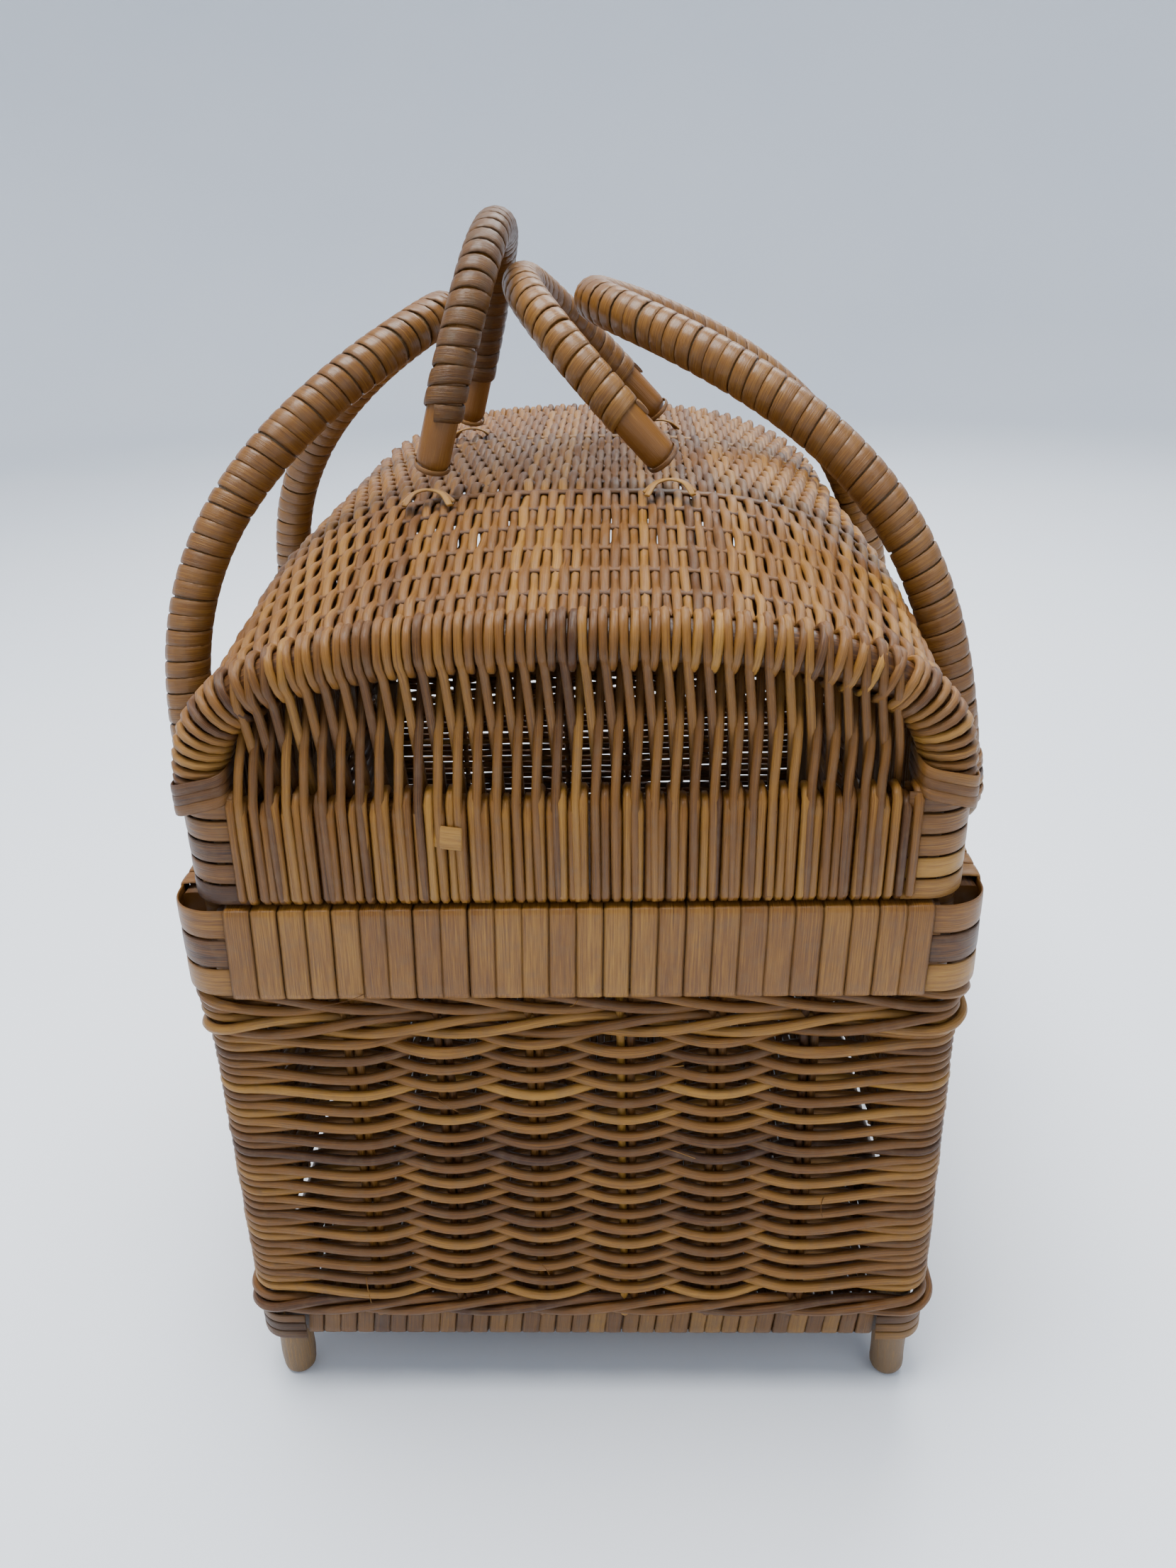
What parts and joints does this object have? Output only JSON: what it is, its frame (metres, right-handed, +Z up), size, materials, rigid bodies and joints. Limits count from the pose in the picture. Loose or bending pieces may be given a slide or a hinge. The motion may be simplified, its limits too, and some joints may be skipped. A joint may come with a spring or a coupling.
{
  "type": "woven wicker basket",
  "caption": "Rectangular woven wicker basket with a domed hinged lid and four cane-bound bail handles that swing aside.",
  "frame": {"origin": "centre of the basket's base, on the ground the four feet stand on", "axes": "+Z up, +X to the right across the width seen from the near end, +Y along the length away from the near end"},
  "size_m": [0.2995, 0.324, 0.4228],
  "materials": {
    "reed": "satin",
    "cane": "semi-gloss",
    "wood": "worn satin"
  },
  "bodies": {
    "basket": {"base_panel": "reed", "corner_weave_back_left": "reed", "corner_weave_back_right": "reed", "corner_weave_front_left": "reed", "corner_weave_front_right": "reed", "handle_straps_left": "cane", "handle_straps_right": "cane", "hinge_ties": "cane", "lower_wale": "reed", "post_back_left": "wood", "post_back_right": "wood", "post_front_left": "wood", "post_front_right": "wood", "rail_back": "cane", "rail_corner_strips": "cane", "rail_front": "cane", "rail_left": "cane", "rail_right": "cane", "rim_back": "cane", "rim_corner_strips": "cane", "rim_front": "cane", "rim_left": "cane", "rim_right": "cane", "stakes_back": "reed", "stakes_front": "reed", "stakes_left": "reed", "stakes_right": "reed", "upper_wale": "reed", "wall_back": "reed", "wall_front": "reed", "wall_left": "reed", "wall_right": "reed"},
    "lid": {"far_hoop": "reed", "far_lashing": "cane", "inner_hoop_far": "reed", "inner_hoop_near": "reed", "lid_band_back": "cane", "lid_band_corner_strips": "cane", "lid_band_front": "cane", "lid_band_left": "cane", "lid_band_right": "cane", "lid_weave": "reed", "near_hoop": "reed", "near_lashing": "cane"},
    "outer_left": {"outer_handle_left": "cane", "outer_lashing_left": "cane", "outer_wrap_left": "cane"},
    "outer_right": {"outer_handle_right": "cane", "outer_lashing_right": "cane", "outer_wrap_right": "cane"},
    "lid_left": {"lid_handle_left": "wood", "lid_handle_ties_left": "cane", "lid_handle_wrap_left": "cane"},
    "lid_right": {"lid_handle_right": "wood", "lid_handle_ties_right": "cane", "lid_handle_wrap_right": "cane"}
  },
  "joints": [
    {"name": "lid_hinge", "type": "hinge", "parent": "basket", "child": "lid", "pos_m": [-0.1265, 0, 0.2195], "axis": [0, -1, 0], "range_deg": [0, 95]},
    {"name": "outer_left_swing", "type": "hinge", "parent": "basket", "child": "outer_left", "pos_m": [-0.141, 0, 0.211], "axis": [0, -1, 0], "range_deg": [0, 143]},
    {"name": "outer_right_swing", "type": "hinge", "parent": "basket", "child": "outer_right", "pos_m": [0.141, 0, 0.211], "axis": [0, 1, 0], "range_deg": [0, 143]},
    {"name": "lid_left_swing", "type": "hinge", "parent": "lid", "child": "lid_left", "pos_m": [-0.051, 0, 0.3365], "axis": [0, -1, 0], "range_deg": [0, 67]},
    {"name": "lid_right_swing", "type": "hinge", "parent": "lid", "child": "lid_right", "pos_m": [0.033, 0, 0.3385], "axis": [0, 1, 0], "range_deg": [0, 67]}
  ],
  "couplings": [
    {"joint": "outer_left_swing", "follows": "lid_hinge", "ratio": 1.5},
    {"joint": "outer_right_swing", "follows": "lid_hinge", "ratio": 1.5},
    {"joint": "lid_left_swing", "follows": "lid_hinge", "ratio": 0.7},
    {"joint": "lid_right_swing", "follows": "lid_hinge", "ratio": 0.7}
  ]
}
